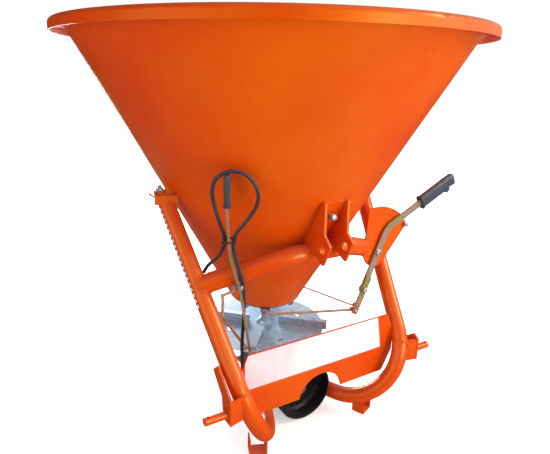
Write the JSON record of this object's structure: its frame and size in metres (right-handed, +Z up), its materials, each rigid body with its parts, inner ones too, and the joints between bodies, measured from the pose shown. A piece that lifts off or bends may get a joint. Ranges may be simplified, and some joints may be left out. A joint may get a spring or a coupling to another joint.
{
  "type": "mounted fertilizer spreader",
  "caption": "Tractor-mounted cone hopper spreader with a spinning disc, a bent tube frame, three-point hitch points, a shielded drive shaft and hand levers.",
  "frame": {"origin": "on the ground under the middle of the hopper", "axes": "+Z up, +Y away from the tractor, +X to the machine's side that carries the dosing lever"},
  "size_m": [1.2848, 1.2844, 1.2198],
  "materials": {
    "orange_enamel": "gloss",
    "galvanised_steel": "satin",
    "zinc_plated_steel": "satin",
    "black_plastic": "matte",
    "grey_casting": "matte",
    "bright_steel": "satin",
    "black_rubber": "matte"
  },
  "bodies": {
    "frame": {"cross_tube": "orange_enamel", "front_feet": "orange_enamel", "front_plate": "orange_enamel", "gearbox": "grey_casting", "gearbox_carrier": "orange_enamel", "hopper": "orange_enamel", "hopper_bolts": "galvanised_steel", "hopper_lugs": "orange_enamel", "hose": "black_rubber", "hose_coupler": "bright_steel", "hose_port": "zinc_plated_steel", "hose_port_tab": "orange_enamel", "hose_tie": "black_plastic", "lever_pivot_bolt": "galvanised_steel", "lower_pin_left": "orange_enamel", "lower_pin_right": "orange_enamel", "metering_clips": "galvanised_steel", "pin_bracket_left": "orange_enamel", "pin_bracket_right": "orange_enamel", "pto_guard": "black_plastic", "rear_foot": "orange_enamel", "scale_plate": "orange_enamel", "scale_stop_bolt": "galvanised_steel", "shutoff_arm": "zinc_plated_steel", "shutoff_bolts": "galvanised_steel", "shutoff_bracket": "orange_enamel", "shutoff_grip": "black_plastic", "shutoff_lever": "zinc_plated_steel", "shutoff_link": "zinc_plated_steel", "side_tube_left": "orange_enamel", "side_tube_right": "orange_enamel", "top_link_bracket": "orange_enamel", "tube_caps": "orange_enamel"},
    "disc": {"spreading_disc": "galvanised_steel", "disc_vanes": "galvanised_steel", "agitator": "galvanised_steel"},
    "drive_shaft": {"pto_shaft": "bright_steel"},
    "dose_lever": {"dose_lever_bars": "zinc_plated_steel", "dose_lever_bolts": "galvanised_steel", "dose_lever_grip": "black_plastic"},
    "lower_rod": {"dose_rod": "zinc_plated_steel"},
    "upper_rod": {"thin_rod": "zinc_plated_steel"},
    "lower_shutter": {"metering_plate_lower": "galvanised_steel"},
    "upper_shutter": {"metering_plate_upper": "galvanised_steel"}
  },
  "joints": [
    {"name": "disc_spin", "type": "hinge", "parent": "frame", "child": "disc", "pos_m": [0, 0, 0.2], "axis": [0, 0, 1], "continuous": true},
    {"name": "drive_spin", "type": "hinge", "parent": "frame", "child": "drive_shaft", "pos_m": [0, -0.25, 0.103], "axis": [0, -1, 0], "continuous": true},
    {"name": "dose_lever", "type": "hinge", "parent": "frame", "child": "dose_lever", "pos_m": [0.2522, -0.274, 0.5408], "axis": [0, -1, 0], "range_deg": [-6, 22]},
    {"name": "lower_rod_swing", "type": "hinge", "parent": "dose_lever", "child": "lower_rod", "pos_m": [0.17145, -0.266, 0.35597], "axis": [-0.2338, 0.9584, 0.1634], "range_deg": [-9.3, 33.8]},
    {"name": "upper_rod_swing", "type": "hinge", "parent": "dose_lever", "child": "upper_rod", "pos_m": [0.17805, -0.266, 0.37109], "axis": [0.1998, 0.8768, 0.4374], "range_deg": [-6.9, 25.3]},
    {"name": "lower_shutter_turn", "type": "hinge", "parent": "frame", "child": "lower_shutter", "pos_m": [0, 0, 0.3315], "axis": [0, 0, 1], "range_deg": [-8.2, 29.9]},
    {"name": "upper_shutter_turn", "type": "hinge", "parent": "frame", "child": "upper_shutter", "pos_m": [0, 0, 0.3355], "axis": [0, 0, 1], "range_deg": [-6.5, 1.8]}
  ],
  "couplings": [
    {"joint": "drive_spin", "follows": "disc_spin", "ratio": -1},
    {"joint": "lower_rod_swing", "follows": "dose_lever", "ratio": 1.5331},
    {"joint": "upper_rod_swing", "follows": "dose_lever", "ratio": 1.1478},
    {"joint": "lower_shutter_turn", "follows": "dose_lever", "ratio": 1.3562},
    {"joint": "upper_shutter_turn", "follows": "dose_lever", "ratio": -0.2911}
  ]
}
